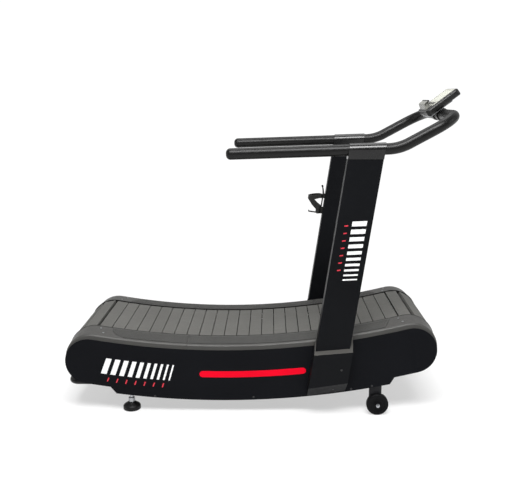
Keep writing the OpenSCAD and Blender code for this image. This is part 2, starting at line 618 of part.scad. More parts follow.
module foot_pad_left() color(foot_col) foot_pad();

// Wheel bracket: down from the frame, out under the panel's flange, and down to the axle
wheel_y0 = 339;
wheel_y1 = 369;
module wheel_brackets() color([0.11, 0.11, 0.12]) both() difference() {
  union() {
    bx([wheel_x - 37, 246.02, 148], [wheel_x + 21, 252, 240]);
    bx([wheel_x - 37, 246.02, 148], [wheel_x + 21, 335, 154]);
    bx([wheel_x - 37, 329, wheel_d/2], [wheel_x + 21, 335, 154]);
    ycyl(wheel_x - 8, wheel_d/2, 29, 329, 335);
  }
  ycyl(wheel_x, wheel_d/2, 6.05, 320, 340);
}
module wheel_axle_bolts() color(steel_col) both() {
  ycyl(wheel_x, wheel_d/2, 6, 324, 380);
  ycyl(wheel_x, wheel_d/2, 10, 320, 328.9, 6);
  ycyl(wheel_x, wheel_d/2, 9, 374, 381, 6);
  ycyl(wheel_x, wheel_d/2, 5, 381, 389);
}
module wheel_tyre() difference() {
  union() {
    ycyl(wheel_x, wheel_d/2, wheel_d/2, wheel_y0 + 3, wheel_y1 - 3, 128);
    ycyl(wheel_x, wheel_d/2, wheel_d/2 - 2.5, wheel_y0, wheel_y1, 128);
  }
  ycyl(wheel_x, wheel_d/2, 36, wheel_y0 - 1, wheel_y1 + 1, 96);
}
module wheel_hub() difference() {
  union() {
    ycyl(wheel_x, wheel_d/2, 35.98, wheel_y0 + 2, wheel_y1 - 2, 96);
    ycyl(wheel_x, wheel_d/2, 15, wheel_y0 - 2, wheel_y1 + 3);
  }
  ycyl(wheel_x, wheel_d/2, 6.06, wheel_y0 - 5, wheel_y1 + 6);
  for (y = [[wheel_y0 - 1, wheel_y0 + 12], [wheel_y1 - 3.5, wheel_y1 + 1]]) difference() {
    ycyl(wheel_x, wheel_d/2, 30, y[0], y[1], 96);
    ycyl(wheel_x, wheel_d/2, 18, y[0] - 1, y[1] + 1);
  }
}
tyre_col = [0.07, 0.07, 0.075];
hub_col = [0.10, 0.10, 0.11];
module wheel_tyre_right() color(tyre_col) right() wheel_tyre();
module wheel_tyre_left() color(tyre_col) wheel_tyre();
module wheel_hub_right() color(hub_col) right() wheel_hub();
module wheel_hub_left() color(hub_col) wheel_hub();

// Lifting handle across the rear, a bent tube between the two foot brackets
lift_r = 15;
lift_z = 131;
lift_x = -941 + XS;
lift_y = 282;
lift_c = 34;
module lift_ring() difference() { circle(r = lift_r, $fn = 64); circle(r = lift_r - 2.5, $fn = 64); }
module lift_tube(l) difference() {
  cylinder(r = lift_r, h = l, $fn = 64);
  translate([0, 0, -1]) cylinder(r = lift_r - 2.5, h = l + 2, $fn = 64);
}
module rear_lift_handle() color([0.09, 0.09, 0.095]) {
  both() {
    translate([lift_x + lift_c, lift_y, lift_z]) rotate([0, 90, 0]) lift_tube(foot_x - 48 - lift_x - lift_c);
    translate([lift_x + lift_c, lift_y - lift_c, lift_z]) rotate([0, 0, 90])
      rotate_extrude(angle = 90, $fn = 120) translate([lift_c, 0]) lift_ring();
  }
  translate([lift_x, -(lift_y - lift_c), lift_z]) rotate([-90, 0, 0]) lift_tube(2*(lift_y - lift_c));
}

// ---------------------------------------------------------------- assembly
side_frames();
frame_cross_members();
side_panel_right();
side_panel_left();
rear_rail_covers();
mid_rail_covers();
front_rail_covers();
foot_grip_strips();
accent_stripes();
upright_right();
upright_left();
upright_boot_right();
upright_boot_left();
clamp_sleeves();
black_screws();
handlebar();
handlebar_end_caps();
bottle_cage();
bottle_cage_bolts();
console_bracket();
console_housing();
console_face();
console_display();
device_ledge();
console_button_1();
console_button_2();
console_button_3();
console_button_4();
rear_lift_handle();
foot_brackets();
foot_lock_nuts();
foot_stud_right();
foot_pad_right();
foot_stud_left();
foot_pad_left();
wheel_brackets();
wheel_axle_bolts();
wheel_tyre_right();
wheel_hub_right();
wheel_tyre_left();
wheel_hub_left();
drum_bearings();
front_drum_shaft();
front_pulleys();
rear_drum_shaft();
rear_pulleys();
treads_top();
slat_bars_top();
link_belts_top();
treads_front();
slat_bars_front();
link_belts_front();
treads_return();
slat_bars_return();
link_belts_return();
treads_rear();
slat_bars_rear();
link_belts_rear();
track_bearings();
cover_screws();
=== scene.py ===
import json
import math
import random
import bpy
import bmesh
from mathutils import Vector, Matrix, Quaternion


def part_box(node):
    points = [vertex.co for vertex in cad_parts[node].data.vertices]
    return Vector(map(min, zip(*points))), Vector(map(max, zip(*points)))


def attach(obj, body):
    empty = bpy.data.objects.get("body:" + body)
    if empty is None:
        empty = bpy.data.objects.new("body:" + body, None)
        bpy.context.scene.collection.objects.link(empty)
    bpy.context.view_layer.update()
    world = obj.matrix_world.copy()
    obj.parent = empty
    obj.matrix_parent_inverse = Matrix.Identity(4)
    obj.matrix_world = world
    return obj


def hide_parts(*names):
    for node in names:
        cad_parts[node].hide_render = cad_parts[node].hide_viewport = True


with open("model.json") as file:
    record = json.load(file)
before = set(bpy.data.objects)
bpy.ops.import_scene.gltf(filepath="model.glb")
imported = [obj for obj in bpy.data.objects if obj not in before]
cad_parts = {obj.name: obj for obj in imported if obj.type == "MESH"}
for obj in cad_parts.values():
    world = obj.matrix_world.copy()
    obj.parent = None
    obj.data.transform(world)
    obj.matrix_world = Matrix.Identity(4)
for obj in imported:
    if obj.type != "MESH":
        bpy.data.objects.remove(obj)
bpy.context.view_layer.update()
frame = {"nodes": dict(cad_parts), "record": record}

random.seed(7)
nodes = frame["nodes"]

# ------------------------------------------------------------------ camera
# the frame's own reference: the front drum axis is 0.65124 m in front of the arc's reference point
dlo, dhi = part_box("front_drum_shaft")
DRUM_F = ((dlo[0] + dhi[0]) / 2, (dlo[2] + dhi[2]) / 2)
XS = DRUM_F[0] + 0.225 - 3.645 * math.sin(math.radians(13.91))
psi, th = math.radians(-0.42066), math.radians(11.9024)
fwd = Vector((math.sin(psi) * math.cos(th), math.cos(psi) * math.cos(th), -math.sin(th)))
right = Vector((math.cos(psi), -math.sin(psi), 0.0))
up = right.cross(fwd)
cam_data = bpy.data.cameras.new("camera")
cam_data.sensor_fit = "HORIZONTAL"
cam_data.sensor_width = 36.0
cam_data.lens = 36.0 * 733.0 / 530.0
cam_data.clip_start, cam_data.clip_end = 0.05, 100.0
cam = bpy.data.objects.new("camera", cam_data)
bpy.context.collection.objects.link(cam)
cam.matrix_world = Matrix((
    (right.x, up.x, -fwd.x, XS),
    (right.y, up.y, -fwd.y, -3.5511),
    (right.z, up.z, -fwd.z, 1.456),
    (0, 0, 0, 1)))
bpy.context.scene.camera = cam


# ------------------------------------------------------------------ materials
class Mat:
    """A small builder for procedural materials."""

    def __init__(self, name, rough=0.5, metallic=0.0, specular=0.5):
        self.m = bpy.data.materials.new(name)
        self.m.use_nodes = True
        self.nt = self.m.node_tree
        self.nt.nodes.clear()
        self.out = self.nt.nodes.new("ShaderNodeOutputMaterial")
        self.b = self.nt.nodes.new("ShaderNodeBsdfPrincipled")
        self.nt.links.new(self.b.outputs[0], self.out.inputs[0])
        self.b.inputs["Roughness"].default_value = rough
        self.b.inputs["Metallic"].default_value = metallic
        self.b.inputs["Specular IOR Level"].default_value = specular
        self.co = self.nt.nodes.new("ShaderNodeTexCoord")

    def link(self, a, b):
        self.nt.links.new(a, b)

    def noise(self, scale, detail=3.0, rough=0.55, stretch=None):
        n = self.nt.nodes.new("ShaderNodeTexNoise")
        n.inputs["Scale"].default_value = scale
        n.inputs["Detail"].default_value = detail
        n.inputs["Roughness"].default_value = rough
        if stretch:
            mp = self.nt.nodes.new("ShaderNodeMapping")
            mp.inputs["Scale"].default_value = stretch
            self.link(self.co.outputs["Object"], mp.inputs["Vector"])
            self.link(mp.outputs[0], n.inputs["Vector"])
        else:
            self.link(self.co.outputs["Object"], n.inputs["Vector"])
        return n.outputs["Fac"]

    def vor(self, scale, feature="F1"):
        n = self.nt.nodes.new("ShaderNodeTexVoronoi")
        n.feature = feature
        n.inputs["Scale"].default_value = scale
        self.link(self.co.outputs["Object"], n.inputs["Vector"])
        return n.outputs["Distance"]

    def math(self, op, a, b=None, c=None, clamp=False):
        n = self.nt.nodes.new("ShaderNodeMath")
        n.operation = op
        n.use_clamp = clamp
        for i, v in enumerate((a, b, c)):
            if v is None:
                continue
            if isinstance(v, (int, float)):
                n.inputs[i].default_value = v
            else:
                self.link(v, n.inputs[i])
        return n.outputs[0]

    def ramp(self, fac, stops):
        n = self.nt.nodes.new("ShaderNodeValToRGB")
        el = n.color_ramp.elements
        while len(el) > len(stops):
            el.remove(el[-1])
        while len(el) < len(stops):
            el.new(0.5)
        for e_, (p, c) in zip(el, stops):
            e_.position = p
            e_.color = (*c, 1.0)
        self.link(fac, n.inputs[0])
        return n.outputs[0]

    def mix(self, fac, a, b, mode="MIX"):
        n = self.nt.nodes.new("ShaderNodeMix")
        n.data_type = "RGBA"
        n.blend_type = mode
        for sock, v in ((n.inputs[0], fac), (n.inputs[6], a), (n.inputs[7], b)):
            if isinstance(v, (int, float)):
                sock.default_value = v
            elif isinstance(v, tuple):
                sock.default_value = (*v, 1.0)
            else:
                self.link(v, sock)
        return n.outputs[2]

    def span(self, fac, lo, hi, a=0.3, b=0.7):
        n = self.nt.nodes.new("ShaderNodeMapRange")
        n.inputs["From Min"].default_value = a
        n.inputs["From Max"].default_value = b
        n.inputs["To Min"].default_value = lo
        n.inputs["To Max"].default_value = hi
        self.link(fac, n.inputs["Value"])
        return n.outputs[0]

    def bump(self, height, strength=0.3, distance=0.0005, prev=None):
        n = self.nt.nodes.new("ShaderNodeBump")
        n.inputs["Strength"].default_value = strength
        n.inputs["Distance"].default_value = distance
        self.link(height, n.inputs["Height"])
        if prev is not None:
            self.link(prev, n.inputs["Normal"])
        return n.outputs[0]

    def color(self, s):
        self.link(s, self.b.inputs["Base Color"])

    def rough(self, s):
        self.link(s, self.b.inputs["Roughness"])

    def normal(self, s):
        self.link(s, self.b.inputs["Normal"])


def shade(c, k):
    return tuple(min(1.0, x * k) for x in c)


def powder(name, col, rough=0.42, grain=900.0, strength=0.22, spec=0.5, dust=(0.10, 0.10, 0.10), dust_amt=0.05):
    """Powder-coated metal: fine orange peel, slight tone drift and a trace of dust."""
    m = Mat(name, rough, 0.0, spec)
    broad = m.noise(2.2, 4.0)
    fine = m.noise(grain, 2.0, 0.6)
    mid = m.noise(38.0, 5.0, 0.6)
    base = m.ramp(broad, [(0.32, shade(col, 0.86)), (0.68, shade(col, 1.16))])
    speck = m.math("MULTIPLY", m.span(mid, 0.0, 1.0, 0.52, 0.78), dust_amt)
    m.color(m.mix(speck, base, dust))
    m.rough(m.span(mid, rough - 0.05, rough + 0.07))
    m.normal(m.bump(fine, strength, 0.00025))
    return m.m


def plastic(name, col, rough=0.55, grain=1400.0, strength=0.35, spec=0.45, dist=0.0002, painted_top_light=None, mottle=0.22):
    """Moulded plastic with a spark-eroded grain; optionally its upward faces are painted lighter, a painted top light.
    """
    m = Mat(name, rough, 0.0, spec)
    broad = m.noise(3.5, 3.0)
    cells = m.vor(grain)
    fine = m.noise(grain * 0.7, 2.0, 0.5)
    base = m.ramp(broad, [(0.3, shade(col, 0.92)), (0.7, shade(col, 1.09))])
    base = m.mix(m.span(fine, 0.0, mottle, 0.35, 0.7), base, shade(col, 0.72))
    # painted top light: the colour shifts to a lighter one on faces turned upwards, standing in for the overhead light
    if painted_top_light:
        g = m.nt.nodes.new("ShaderNodeNewGeometry")
        up_ = m.nt.nodes.new("ShaderNodeSeparateXYZ")
        m.link(g.outputs["Normal"], up_.inputs[0])
        base = m.mix(m.span(up_.outputs[2], 0.0, 0.9, 0.3, 0.8), base, painted_top_light)
    m.color(base)
    m.rough(m.span(m.noise(55.0, 4.0), rough - 0.06, rough + 0.07))
    m.normal(m.bump(m.math("ADD", cells, fine), strength, dist))
    return m.m


def rubber(name, col, rough=0.75, grain=700.0, strength=0.4, dist=0.0004, per_island=0.0, streak=None, dust=(0.3, 0.3, 0.28), dust_amt=0.1, spec=0.35):
    """Rubber with a fine matte grain, scuffs and, on the treads, a tone of its own for each piece."""
    m = Mat(name, rough, 0.0, spec)
    broad = m.noise(5.0, 5.0, 0.62)
    mid = m.noise(60.0, 5.0, 0.65)
    fine = m.noise(grain, 3.0, 0.6)
    base = m.ramp(broad, [(0.3, shade(col, 0.90)), (0.72, shade(col, 1.10))])
    base = m.mix(m.span(fine, 0.0, 0.5, 0.4, 0.75), base, shade(col, 0.66))
    base = m.mix(m.math("MULTIPLY", m.span(mid, 0.0, 1.0, 0.5, 0.8), dust_amt), base, dust)
    if streak:
        s = m.noise(streak[0], 3.0, 0.6, streak[1])
        base = m.mix(m.span(s, 0.0, 0.30, 0.52, 0.74), base, shade(col, 1.38))
    if per_island:
        g = m.nt.nodes.new("ShaderNodeNewGeometry")
        k = m.span(g.outputs["Random Per Island"], 0.0, per_island, 0.0, 1.0)
        base = m.mix(k, base, shade(col, 0.55))
    m.color(base)
    m.rough(m.span(mid, rough - 0.08, rough + 0.08))
    m.normal(m.bump(m.math("ADD", fine, m.math("MULTIPLY", m.vor(grain * 1.3), 0.6)), strength, dist))
    return m.m


def metal(name, col, rough=0.3, stretch=(1.0, 1.0, 60.0), scale=40.0, strength=0.06):
    """Plated or turned steel with faint directional marks."""
    m = Mat(name, rough, 1.0, 0.5)
    marks = m.noise(scale, 4.0, 0.6, stretch)
    broad = m.noise(14.0, 4.0)
    m.color(m.mix(m.span(marks, 0.0, 0.35), m.ramp(broad, [(0.3, shade(col, 0.85)), (0.7, shade(col, 1.08))]), shade(col, 0.62)))
    m.rough(m.span(broad, rough - 0.07, rough + 0.12))
    m.normal(m.bump(marks, strength, 0.0002))
    return m.m


MATS = {
    "frame_paint": powder("frame_paint", (0.016, 0.016, 0.018), 0.5, spec=0.25),
    "panel_paint": powder("panel_paint", (0.0044, 0.0048, 0.0062), 0.5, 1100.0, 0.12, 0.055, (0.04, 0.04, 0.04), 0.03),
    "cover_plastic": plastic("cover_plastic", (0.047, 0.046, 0.043), 0.46, 1500.0, 0.3, 0.38),
    "grip_rubber": rubber("grip_rubber", (0.050, 0.0495, 0.047), 0.72, 900.0, 0.5, dust=(0.2, 0.2, 0.19)),
    "stripe_red": plastic("stripe_red", (0.76, 0.0012, 0.018), 0.42, 2200.0, 0.05, 0.05),
    "post_paint": powder("post_paint", (0.0046, 0.0050, 0.0060), 0.44, 1100.0, 0.12, 0.065, (0.04, 0.04, 0.04), 0.03),
    # the boot's upward faces are painted light grey, a painted top light
    "boot_plastic": plastic("boot_plastic", (0.0050, 0.0054, 0.0064), 0.5, 1300.0, 0.2, 0.075, painted_top_light=(0.075, 0.073, 0.068)),
    "sleeve_paint": powder("sleeve_paint", (0.0050, 0.0050, 0.0052), 0.22, 300.0, 0.0, 0.55, (0.04, 0.04, 0.04), 0.02),
    "bar_paint": powder("bar_paint", (0.0026, 0.0026, 0.0026), 0.36, 300.0, 0.0, 0.27, (0.02, 0.02, 0.02), 0.01),
    "cap_plastic": plastic("cap_plastic", (0.0034, 0.0034, 0.0034), 0.34, 500.0, 0.0, 0.26),
    "cage_plastic": plastic("cage_plastic", (0.010, 0.010, 0.0095), 0.45, spec=0.3),
    "console_plastic": plastic("console_plastic", (0.0085, 0.0085, 0.0086), 0.36, 600.0, 0.0, 0.35),
    "console_face": plastic("console_face", (0.44, 0.44, 0.39), 0.42, 300.0, 0.0, 0.25, mottle=0.02),
    "display_panel": plastic("display_panel", (0.54, 0.55, 0.48), 0.3, 300.0, 0.0, 0.25, mottle=0.02),
    "ledge_plastic": plastic("ledge_plastic", (0.22, 0.22, 0.20), 0.3, 2000.0, 0.05, 0.4),
    "button_plastic": rubber("button_plastic", (0.05, 0.05, 0.052), 0.55, 1600.0, 0.2, dust_amt=0.0),
    "bright_steel": metal("bright_steel", (0.46, 0.47, 0.49), 0.3),
    "dark_steel": powder("dark_steel", (0.014, 0.014, 0.015), 0.36, spec=0.4),
    "foot_rubber": rubber("foot_rubber", (0.006, 0.006, 0.0064), 0.45, 900.0, 0.15, dust=(0.04, 0.04, 0.04), dust_amt=0.03, spec=0.2),
    "wheel_rubber": rubber("wheel_rubber", (0.0046, 0.0046, 0.0052), 0.5, 900.0, 0.15, dust=(0.04, 0.04, 0.04), dust_amt=0.03, spec=0.1),
    "hub_plastic": plastic("hub_plastic", (0.0042, 0.0042, 0.0048), 0.5, spec=0.1, strength=0.1),
    "cast_housing": powder("cast_housing", (0.09, 0.09, 0.095), 0.55, 500.0, 0.5),
    "pulley_alloy": metal("pulley_alloy", (0.6, 0.6, 0.61), 0.36),
    "tread_rubber": rubber("tread_rubber", (0.100, 0.0985, 0.0915), 0.78, 650.0, 0.55, 0.0004, per_island=0.22,
                           streak=(9.0, (1.0, 6.0, 1.0)), dust=(0.20, 0.20, 0.185)),
    "slat_alloy": metal("slat_alloy", (0.035, 0.035, 0.037), 0.45, (40.0, 1.0, 40.0)),
    "belt_rubber": rubber("belt_rubber", (0.012, 0.012, 0.012), 0.7, dust_amt=0.02),
}
# black rubber for the beads of painted gap shade along the covers' inner edges, and for the grip outlines
GAP_SHADE_AND_OUTLINE_BLACK = rubber("gap_shade_and_outline_rubber", (0.004, 0.004, 0.004), 0.6, 1200.0, 0.2, dust=(0.03, 0.03, 0.03), dust_amt=0.03)
WHITE = plastic("decal_white", (0.86, 0.86, 0.86), 0.4, 2400.0, 0.04, 0.3)
RED = plastic("decal_red", (0.62, 0.03, 0.05), 0.4, 2400.0, 0.04, 0.3)
ROLLER = rubber("ledge_roller_rubber", (0.012, 0.012, 0.012), 0.5, 1200.0, 0.2, dust_amt=0.0)

slots = {s["node"]: s["material_slot"] for s in frame["record"]["subparts"]}

BEVEL = {
    "treads_top": (0.0022, 3), "treads_front": (0.0022, 3), "treads_rear": (0.0022, 3), "treads_return": (0.0022, 2),
    "upright_right": (0.0035, 4), "upright_left": (0.0035, 4),
    "upright_boot_right": (0.0018, 3), "upright_boot_left": (0.0018, 3),
    "clamp_sleeves": (0.0012, 3), "device_ledge": (0.0012, 3),
    "console_bracket": (0.0012, 2), "wheel_brackets": (0.001, 2), "foot_brackets": (0.001, 2),
    "wheel_hub_right": (0.0008, 2), "wheel_hub_left": (0.0008, 2),
    "foot_lock_nuts": (0.0008, 2), "foot_stud_right": (0.0006, 2), "foot_stud_left": (0.0006, 2),
    "wheel_axle_bolts": (0.0008, 2), "side_panel_right": (0.0007, 2), "side_panel_left": (0.0007, 2),
    "accent_stripes": (0.0003, 2), "foot_grip_strips": (0.0006, 2), "cover_screws": (0.0006, 2),
    "bottle_cage": (0.001, 2), "console_face": (0.0006, 2),
}


def smooth(ob, angle=35.0):
    me = ob.data
    me.polygons.foreach_set("use_smooth", [True] * len(me.polygons))
    me.set_sharp_from_angle(angle=math.radians(angle))


def bevel(ob, width, seg=2, angle=32.0):
    b = ob.modifiers.new("bevel", "BEVEL")
    b.width = width
    b.segments = seg
    b.limit_method = "ANGLE"
    b.angle_limit = math.radians(angle)
    b.use_clamp_overlap = True
    b.harden_normals = True
    return b


for name, ob in nodes.items():
    m = MATS[slots[name]]
    if not ob.material_slots:
        ob.data.materials.append(m)
    for s in ob.material_slots:
        s.material = m
    smooth(ob)
    if name in BEVEL:
        bevel(ob, *BEVEL[name])


# ------------------------------------------------------------------ mesh tools
def piece(name, verts, faces, mat, body, smooth_angle=35.0):
    me = bpy.data.meshes.new(name)
    me.from_pydata([tuple(v) for v in verts], [], faces)
    me.validate()
    bm = bmesh.new()
    bm.from_mesh(me)
    bmesh.ops.remove_doubles(bm, verts=bm.verts, dist=1e-6)
    bmesh.ops.recalc_face_normals(bm, faces=bm.faces)
    bm.to_mesh(me)
    bm.free()
    ob = bpy.data.objects.new(name, me)
    bpy.context.collection.objects.link(ob)
    me.materials.append(MATS[mat] if isinstance(mat, str) else mat)
    smooth(ob, smooth_angle)
    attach(ob, body)
    return ob


# ------------------------------------------------------------------ geometry helpers
MM = 0.001
AX, AZ, ARC = XS - 0.225, 3.856, 3.645
A_REAR, A_FRONT = 9.56, 13.91
DRUM_F = (AX + ARC * math.sin(math.radians(A_FRONT)), AZ - ARC * math.cos(math.radians(A_FRONT)))
DRUM_R = (AX - ARC * math.sin(math.radians(A_REAR)), AZ - ARC * math.cos(math.radians(A_REAR)))
RT = 126.0


def cover_h(y):
    return RT - (y - 221.0) * 6.5 / 108.0


def arc_pt(a, r, y):
    a = math.radians(a)
    return Vector((AX + r * math.sin(a), y, AZ - r * math.cos(a)))


def rail_frames(a0=None, a1=None, rear_t=None, front_t=None):
    """Points and outward directions along the covers: rear end, arc, front end."""
    out = []
    if rear_t is not None:
        n = max(2, int((360 + A_REAR - rear_t) / 4))
        for i in range(n):
            t = math.radians(rear_t + (360 + A_REAR - rear_t) * i / n)
            out.append((Vector((DRUM_R[0], 0, DRUM_R[1])), Vector((math.sin(t), 0, math.cos(t)))))
    a0 = -A_REAR if a0 is None else a0
    a1 = A_FRONT if a1 is None else a1
    n = max(2, int((a1 - a0) / 0.35))
    for i in range(n + 1):
        a = math.radians(a0 + (a1 - a0) * i / n)
        out.append((Vector((AX + ARC * math.sin(a), 0, AZ - ARC * math.cos(a))), Vector((-math.sin(a), 0, math.cos(a)))))
    if front_t is not None:
        n = max(2, int((front_t + A_FRONT) / 4))
        for i in range(1, n + 1):
            t = math.radians(-A_FRONT + (front_t + A_FRONT) * i / n)
            out.append((Vector((DRUM_F[0], 0, DRUM_F[1])), Vector((math.sin(t), 0, math.cos(t)))))
    return out


def sweep(frames, profile, side, verts, faces):
    """Closed (height, y) outline in mm carried along the frames; side is -1 or 1."""
    base, m = len(verts), len(profile)
    for c, d in frames:
        for h, y in profile:
            verts.append(c + d * (h * MM) + Vector((0, side * y * MM, 0)))
    for i in range(len(frames) - 1):
        for k in range(m):
            a, b = base + i * m + k, base + i * m + (k + 1) % m
            faces.append((a, b, b + m, a + m))
    faces.append(tuple(range(base, base + m)))
    faces.append(tuple(range(base + (len(frames) - 1) * m, base + len(frames) * m)))


def lathe(profile, centre, axis, n=96):
    """Turns a closed (radius, along) outline in mm about an axis through centre."""
    verts, faces = [], []
    m = len(profile)
    for i in range(n):
        t = 2 * math.pi * i / n
        for r, h in profile:
            if axis == "Y":
                verts.append((centre[0] + r * MM * math.cos(t), centre[1] + h * MM, centre[2] + r * MM * math.sin(t)))
            else:
                verts.append((centre[0] + r * MM * math.cos(t), centre[1] + r * MM * math.sin(t), centre[2] + h * MM))
    for i in range(n):
        j = (i + 1) % n
        for k in range(m):
            l = (k + 1) % m
            faces.append((i * m + k, j * m + k, j * m + l, i * m + l))
    return verts, faces


# ------------------------------------------------------------------ rails: black beads of painted gap shade, and grip ribs
# a black bead along each cover's inner top edge: painted shade, standing in for the dark gap between the treads and
# the covers
gap_shade_bead_profile = [(115.0, 220.85), (115.0, 219.7), (126.2, 219.7), (127.0, 220.4), (127.2, 221.7), (126.7, 222.9), (125.95, 223.1), (126.05, 220.85)]
for side, nm in ((-1, "right"), (1, "left")):
    v, f = [], []
    sweep(rail_frames(rear_t=242, front_t=118), gap_shade_bead_profile, side, v, f)
    piece("rail_gap_shade_bead_" + nm, v, f, GAP_SHADE_AND_OUTLINE_BLACK, "frame")

GRIP_REAR = [(230, -742), (262, -738), (292, -722), (310, -700), (324, -676)]
GRIP_FRONT = [(230, 562), (290, 542), (324, 528)]


def along(table, y):
    for (y0, x0), (y1, x1) in zip(table, table[1:]):
        if y <= y1:
            return x0 + (x1 - x0) * (y - y0) / (y1 - y0)
    return table[-1][1]


for side, nm in ((-1, "right"), (1, "left")):
    v, f = [], []
    for k in range(13):
        y = 241.5 + 6.2 * k
        r = ARC - cover_h(y) * MM
        x0, x1 = along(GRIP_REAR, y) + 7, along(GRIP_FRONT, y) - 7
        a0 = math.degrees(math.asin((x0 + 225) * MM / r))
        a1 = math.degrees(math.asin((x1 + 225) * MM / r))
        top = cover_h(y) + 1.3
        for b0, b1 in ((a0, -2.6 - 0.08), (-2.6 + 0.08, 7.5 - 0.08), (7.5 + 0.08, a1)):
            sweep(rail_frames(b0, b1), [(top - 0.3, y - 1.5), (top + 0.75, y - 0.9), (top + 0.75, y + 0.9), (top - 0.3, y + 1.5)], side, v, f)
    piece("grip_ribs_" + nm, v, f, "grip_rubber", "frame", 20.0)


def on_cover(x, y, lift, side):
    """A point lift mm above the rail cover at x, y in mm from the arc's reference point."""
    h = cover_h(y) + lift
    r = ARC - h * MM
    a = math.asin((x + 225.0) * MM / r)
    return Vector((AX + r * math.sin(a), side * y * MM, AZ - r * math.cos(a)))


def ribbon(path, width, lo, hi, side, verts, faces):
    """A thin raised ribbon along a plan path on the rail cover."""
    base, n = len(verts), len(path)
    for i, (x, y) in enumerate(path):
        x0, y0 = path[max(0, i - 1)]
        x1, y1 = path[min(n - 1, i + 1)]
        l = math.hypot(x1 - x0, y1 - y0)
        nx, ny = -(y1 - y0) / l * width / 2, (x1 - x0) / l * width / 2
        for sx, lift in ((1, lo), (1, hi), (-1, hi), (-1, lo)):
            verts.append(on_cover(x + sx * nx, y + sx * ny, lift, side))
    for i in range(n - 1):
        for k in range(4):
            a, b = base + 4 * i + k, base + 4 * i + (k + 1) % 4
            faces.append((a, b, b + 4, a + 4))
    faces.append(tuple(range(base, base + 4)))
    faces.append(tuple(range(base + 4 * (n - 1), base + 4 * n)))


rear_path = [(x - 1.6, y) for y, x in GRIP_REAR]
front_path = [(x + 1.6, y) for y, x in GRIP_FRONT][::-1]
edge_path = [(-674 + (1202.0 * i / 60), 325.2) for i in range(61)]
for side, nm in ((-1, "right"), (1, "left")):
    v, f = [], []
    ribbon(rear_path[:-1] + [(-700 + 24 * t, 310 + 15.2 * t) for t in (0.5, 1.0)] + edge_path[1:-1] + front_path, 1.8, 0.04, 0.5, side, v, f)
    piece("grip_outline_" + nm, v, f, GAP_SHADE_AND_OUTLINE_BLACK, "frame")

# ------------------------------------------------------------------ rivets on the boots' tapered lower ends
for side, nm in ((-1, "right"), (1, "left")):
    c8, s8 = math.cos(math.radians(8.5)), math.sin(math.radians(8.5))
    u_, y_, z_ = 96.0, 383.0, 32.9
    c = Vector((XS + (199.0 + u_ * c8 - z_ * s8) * MM, side * y_ * MM, (88.3 + u_ * s8 + z_ * c8) * MM))
    ax_ = Vector((0.745 * s8, side * 0.667, -0.745 * c8)).normalized()
    ex = Vector((c8, 0.0, s8))
    ey = ax_.cross(ex).normalized()
    rings = [(4.6, -0.5), (4.6, 0.8), (4.0, 1.5), (2.6, 2.1), (1.0, 2.35)]
    v, f = [], []
    for r, h in rings:
        for i in range(32):
            t = 2 * math.pi * i / 32
            v.append(c + ex * (r * MM * math.cos(t)) + ey * (r * MM * math.sin(t)) + ax_ * (h * MM))
    for k in range(len(rings) - 1):
        for i in range(32):
            j = (i + 1) % 32
            f.append((k * 32 + i, k * 32 + j, (k + 1) * 32 + j, (k + 1) * 32 + i))
    f.append(tuple(range(32)))
    f.append(tuple(range((len(rings) - 1) * 32, len(rings) * 32)))
    piece("boot_rivet_" + nm, v, f, "dark_steel", "frame")

# ------------------------------------------------------------------ plain slanted bars on the panels and posts
def on_panel(a, r, y):
    return arc_pt(a, r, y)


post_c, post_s_ = math.cos(math.radians(8.3)), math.sin(math.radians(8.3))


def on_post(u, s, y):
    """Post frame in mm: u across towards the front, s up along the post."""
    return Vector((XS + 0.331 + (u * post_c + s * post_s_) * MM, y, 0.656 + (-u * post_s_ + s * post_c) * MM))


def flat_block(fn, quad, y0, y1, side, verts, faces, n=1):
    """A thin raised block on a four-cornered outline, split n times along its first edge."""
    (p0, p1, p2, p3) = quad
    base = len(verts)
    for y in (y0, y1):
        for i in range(n + 1):
            t = i / n
            lo_ = (p0[0] + (p1[0] - p0[0]) * t, p0[1] + (p1[1] - p0[1]) * t)
            hi_ = (p3[0] + (p2[0] - p3[0]) * t, p3[1] + (p2[1] - p3[1]) * t)
            verts.append(fn(lo_[0], lo_[1], side * y))
            verts.append(fn(hi_[0], hi_[1], side * y))
    m = 2 * (n + 1)
    for i in range(n):
        a = base + 2 * i
        faces.append((a, a + 1, a + 3, a + 2))
        faces.append((a + m, a + m + 2, a + m + 3, a + m + 1))
        faces.append((a, a + 2, a + m + 2, a + m))
        faces.append((a + 1, a + m + 1, a + m + 3, a + 3))
    faces.append((base, base + m, base + m + 1, base + 1))
    e_ = base + 2 * n
    faces.append((e_, e_ + 1, e_ + m + 1, e_ + m))


